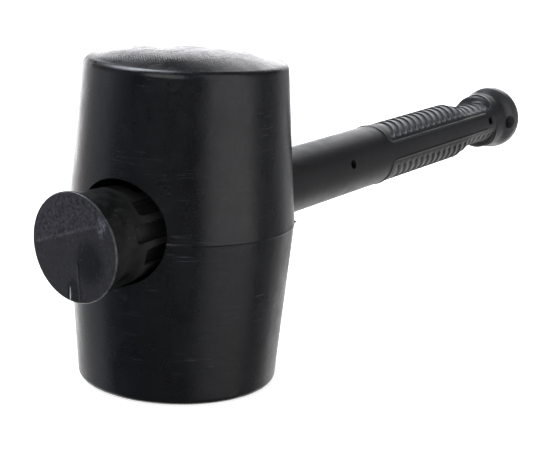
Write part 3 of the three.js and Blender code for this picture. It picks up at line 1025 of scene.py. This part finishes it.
def face_shade(recipe, y, z):
    """The colour of the flare's end face: scuffed above its moulding line, smoother below."""
    tilt = recipe.plus(recipe.times(y, FACE_LINE[0]), recipe.times(z, FACE_LINE[1]))
    off = recipe.minus(tilt, FACE_LINE_PLACE)
    above = recipe.spread(recipe.plus(off, recipe.noise(3, 3.0)), 0, 1)
    scuff = recipe.spread(recipe.noise(1.5, 5.0, (1, 1, 1), 0.8), 0.4, 0.58)
    shade = recipe.blend(scuff, (0.009, 0.0084, 0.0105, 1), (0.0165, 0.0155, 0.0192, 1))
    rough = recipe.blend(scuff, (0.005, 0.0045, 0.0062, 1), (0.0295, 0.0275, 0.0345, 1))
    shade = recipe.blend(above, shade, rough)
    dark = spot(recipe, y, z, *DARK_PATCH, 0.6)
    shade = recipe.blend(recipe.times(dark, 0.9), shade, (0.0002, 0.0002, 0.0002, 1))
    patch = spot(recipe, y, z, *LOWER_PATCH, 0.25)
    shade = recipe.blend(recipe.times(patch, 0.7), shade, (0.0004, 0.0004, 0.0002, 1))
    line = recipe.spread(recipe.math("ABSOLUTE", off), 0.75, 0.1)
    line = recipe.times(line, recipe.spread(recipe.noise(2.5, 3.0), 0.3, 0.6))
    shade = recipe.blend(recipe.times(line, 0.55), shade, (0.055, 0.053, 0.062, 1))
    smudge = spot(recipe, y, z, *SMUDGE, 0.8)
    smudge = recipe.times(smudge, recipe.spread(recipe.noise(1.0, 4.0, (1, 1, 0.6)), 0.4, 0.66))
    shade = recipe.blend(recipe.times(smudge, 0.6), shade, (0.13, 0.14, 0.165, 1))
    scratch = spot(recipe, y, z, *SCRATCH, 0.5)
    shade = recipe.blend(scratch, shade, (0.33, 0.33, 0.32, 1))
    specks = recipe.spread(recipe.noise(0.9, 1.0), 0.72, 0.78)
    return recipe.blend(recipe.times(specks, 0.4), shade, (0.12, 0.12, 0.13, 1))


def jacket_plastic():
    recipe = Recipe("jacket_plastic")
    station, y, z = handle_place(recipe)
    square = recipe.plus(recipe.times(y, y), recipe.times(z, z))
    radius = recipe.math("SQRT", square)
    on_face = recipe.spread(station, FACE_X + 0.3, FACE_X + 0.15)
    on_flare = recipe.spread(station, *FLARE_TONE_X)
    cloud = recipe.noise(16, 4.0, (0.5, 1, 1), 0.6)
    cloud = recipe.spread(cloud, 0.3, 0.7)
    colour = recipe.blend(cloud, (0.0088, 0.009, 0.0096, 1), (0.0128, 0.0128, 0.0134, 1))
    grime = recipe.spread(recipe.noise(5, 4.0), 0.35, 0.65)
    flare = recipe.blend(grime, (0.0015, 0.0016, 0.0014, 1), (0.0085, 0.0088, 0.0082, 1))
    # painted light: fin tops just inside the eye are lightened where the head's wall shades them
    painted_light_near_eye = recipe.times(recipe.spread(station, *PAINTED_LIGHT_EYE_X), recipe.spread(radius, *FIN_TOP_RADIUS))
    flare = recipe.blend(painted_light_near_eye, flare, (0.026, 0.026, 0.025, 1))
    # painted light: the floors of the pockets between the fins are lightened against their shade
    flare = recipe.blend(recipe.spread(radius, *POCKET_FLOOR_LIGHT_RADIUS), flare, (0.03, 0.03, 0.03, 1))
    # towards the pommel the colour is lifted, a painted light standing for a fill on it, and the surface
    # is smoother from wear
    pommel_wear_and_light = recipe.times(recipe.spread(station, COLLAR_END_X, POMMEL_X), 0.7)
    colour = recipe.blend(pommel_wear_and_light, colour, (0.052, 0.052, 0.053, 1))
    colour = recipe.blend(on_flare, colour, flare)
    marks = scratches(recipe, 3, (1, 7, 1.2), 0.64, 0.74)
    colour = recipe.blend(recipe.times(marks, 0.4), colour, (0.07, 0.072, 0.078, 1))
    colour = recipe.blend(on_face, colour, face_shade(recipe, y, z))
    # the lip's outer edge is lighter: partly wear, partly a painted highlight along the edge
    on_lip = recipe.times(recipe.spread(radius, *LIP_EDGE_RADIUS), recipe.spread(station, *LIP_EDGE_X))
    lip_wear_and_highlight = recipe.times(on_lip, recipe.spread(recipe.noise(4, 4.0), 0.38, 0.62))
    colour = recipe.blend(recipe.times(lip_wear_and_highlight, 0.6), colour, (0.1, 0.1, 0.105, 1))
    roughness = recipe.spread(recipe.noise(5, 5.0), 0.3, 0.7, 0.3, 0.42)
    polished = recipe.plus(on_face, pommel_wear_and_light)
    roughness = recipe.minus(roughness, recipe.times(polished, 0.12))
    normal = recipe.bump(recipe.noise(0.35, 2.0), 0.02, 0.4)
    normal = recipe.bump(recipe.noise(8, 2.0), 0.15, 0.2, normal)
    return recipe.finish(colour, roughness, normal)


def grip_rubber():
    recipe = Recipe("grip_rubber")
    cloud = recipe.noise(11, 4.0, (0.6, 1, 1), 0.6)
    cloud = recipe.spread(cloud, 0.3, 0.7)
    colour = recipe.blend(cloud, (0.0105, 0.0107, 0.0112, 1), (0.015, 0.015, 0.0157, 1))
    roughness = recipe.spread(recipe.noise(4, 5.0), 0.3, 0.7, 0.34, 0.46)
    normal = recipe.bump(recipe.noise(0.3, 2.0), 0.02, 0.5)
    return recipe.finish(colour, roughness, normal)


def glass_fibre():
    recipe = Recipe("glass_fibre")
    strands = recipe.noise(0.6, 3.0, (0.04, 1, 1), 0.6)
    colour = recipe.blend(recipe.spread(strands, 0.3, 0.7), (0.28, 0.2, 0.07, 1), (0.45, 0.36, 0.16, 1))
    roughness = recipe.spread(recipe.noise(3, 3.0), 0.3, 0.7, 0.4, 0.55)
    return recipe.finish(colour, roughness, recipe.bump(strands, 0.05, 0.5))


# --- Stage, light and camera ---

def build_floor():
    mesh = bpy.data.meshes.new("floor")
    reach = 6.0
    corners = [(-reach, -reach, 0), (reach, -reach, 0), (reach, reach, 0), (-reach, reach, 0)]
    mesh.from_pydata(corners, [], [(0, 1, 2, 3)])
    floor = bpy.data.objects.new("floor", mesh)
    bpy.context.scene.collection.objects.link(floor)
    material = bpy.data.materials.new("pale_floor")
    material.use_nodes = True
    shader = material.node_tree.nodes["Principled BSDF"]
    shader.inputs["Base Color"].default_value = (0.9, 0.9, 0.9, 1)
    shader.inputs["Roughness"].default_value = 0.9
    shader.inputs["Emission Color"].default_value = (1, 1, 1, 1)
    shader.inputs["Emission Strength"].default_value = 0.75
    mesh.materials.append(material)
    floor.visible_glossy = False


CAMERA_PLACE = (-424.71, -353.76, 196.63)
CAMERA_LENS = 93.06
CAMERA_YAW = math.radians(35.921)
CAMERA_PITCH = math.radians(-13.551)
CAMERA_ROLL = 0.04729


def build_camera():
    """The viewpoint: above and in front of the flare, looking past the head along the handle."""
    data = bpy.data.cameras.new("camera")
    data.sensor_width = 36
    data.lens = CAMERA_LENS
    data.clip_start = 0.01
    data.clip_end = 50
    level_length = math.cos(CAMERA_PITCH)
    forward = Vector((
        level_length * math.cos(CAMERA_YAW),
        level_length * math.sin(CAMERA_YAW),
        math.sin(CAMERA_PITCH),
    ))
    level = forward.cross(Vector((0, 0, 1))).normalized()
    upward = level.cross(forward)
    right = level * math.cos(CAMERA_ROLL) + upward * math.sin(CAMERA_ROLL)
    up = upward * math.cos(CAMERA_ROLL) - level * math.sin(CAMERA_ROLL)
    camera = bpy.data.objects.new("camera", data)
    turned = Matrix((right, up, -forward)).transposed().to_4x4()
    camera.matrix_world = Matrix.Translation(Vector(CAMERA_PLACE) * MM) @ turned
    bpy.context.scene.collection.objects.link(camera)
    bpy.context.scene.camera = camera


class Sky(Nodes):
    """The studio round the object, as soft bright fields on a dim ground."""

    def __init__(self, ground):
        world = bpy.data.worlds.new("studio")
        world.use_nodes = True
        bpy.context.scene.world = world
        super().__init__(world.node_tree)
        split = self.node("SeparateXYZ")
        self.link(self.node("TexCoord").outputs["Generated"], split.inputs[0])
        x, y, z = split.outputs
        self.azimuth = self.math("ARCTAN2", y, x)
        self.elevation = self.math("ARCSINE", z)
        self.total = self.scaled(ground, 1)

    def scaled(self, colour, share):
        node = self.node("VectorMath")
        node.operation = "SCALE"
        self.link(colour, node.inputs[0])
        self.link(share, node.inputs["Scale"])
        return node.outputs[0]

    def rise(self, value, low, high):
        return self.spread(value, math.radians(low), math.radians(high), kind="SMOOTHSTEP")

    def field(self, colour, azimuth, half_width, elevation, half_height, soft, soft_up):
        """Adds light round a direction, in degrees, with soft edges to the sides and up."""
        turn = self.math("WRAP", self.minus(self.azimuth, math.radians(azimuth)), math.pi)
        turn.node.inputs[2].default_value = -math.pi
        share = self.rise(self.math("ABSOLUTE", turn), half_width + soft, half_width)
        lift = self.math("ABSOLUTE", self.minus(self.elevation, math.radians(elevation)))
        share = self.times(share, self.rise(lift, half_height + soft_up, half_height))
        self.total = self.operate("VectorMath", "ADD", (self.total, self.scaled(colour, share)))

    def finish(self):
        self.link(self.total, self.tree.nodes["Background"].inputs["Color"])


FIELDS = (  # colour, azimuth, half width, elevation, half height, soft sides, soft top and bottom
    ((0.05, 0.05, 0.052), -37, 120, 0, 90, 50, 10),  # the room, away from the flare's end face
    ((0.47, 0.47, 0.49), 58, 65, -24, 28, 22, 12),  # broad low light on the head's walls
    ((0.12, 0.12, 0.123), -34, 10, -20, 32, 14, 14),  # its faint tail on the far side
    ((0.37, 0.37, 0.38), 62, 18, -22, 22, 20, 12),  # the sheen on the head's left
    ((2.2, 2.2, 2.25), 50, 18, -1, 11, 12, 10),  # the white back of the upper face
    ((2.2, 2.2, 2.23), 19, 9, 22, 9, 10, 12),  # the shaft's upper side
    ((0.0, 0.015, 0.045), 140, 25, 0, 50, 20, 20),  # a blue cast on the left
    ((0.22, 0.22, 0.23), 138, 12, 10, 10, 16, 10),  # the head's upper left
    ((2.0, 2.0, 2.0), -165, 15, 32, 10, 10, 10),  # a fill from the front
    ((0.45, 0.44, 0.41), 30, 40, -35, 15, 15, 15),  # low light from behind
    ((2.0, 1.9, 1.75), 45, 30, -62, 12, 15, 10),  # warm light from the floor
    ((1.05, 1.03, 1.05), -88, 20, 18, 28, 14, 30),  # the streak on the head's right
    ((1.3, 1.05, 1.0), 80, 1.5, 5, 20, 3, 3),  # the thin strip on the head's left edge
    ((8.0, 8.5, 9.4), 92, 30, 59, 9, 12, 10),  # the lamp along the rim and the pommel
)


def build_studio():
    sky = Sky((0.05, 0.05, 0.053))
    for field in FIELDS:
        sky.field(*field)
    sky.finish()


def dress(piece, node, material):
    piece.data.materials.clear()
    piece.data.materials.append(material)
    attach(piece, "root")
    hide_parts(node)


dress(build_head(), "rubber_head", head_rubber())
dress(build_jacket(), "handle_jacket", jacket_plastic())
soft_grip = grip_rubber()
dress(build_panel("grip_insert_upper", math.pi / 2), "grip_panel_upper", soft_grip)
dress(build_panel("grip_insert_lower", -math.pi / 2), "grip_panel_lower", soft_grip)
core = frame["nodes"]["core_rod"]
core.data.materials.clear()
core.data.materials.append(glass_fibre())

build_floor()
build_studio()
build_camera()
bpy.context.scene.view_settings.view_transform = "Standard"
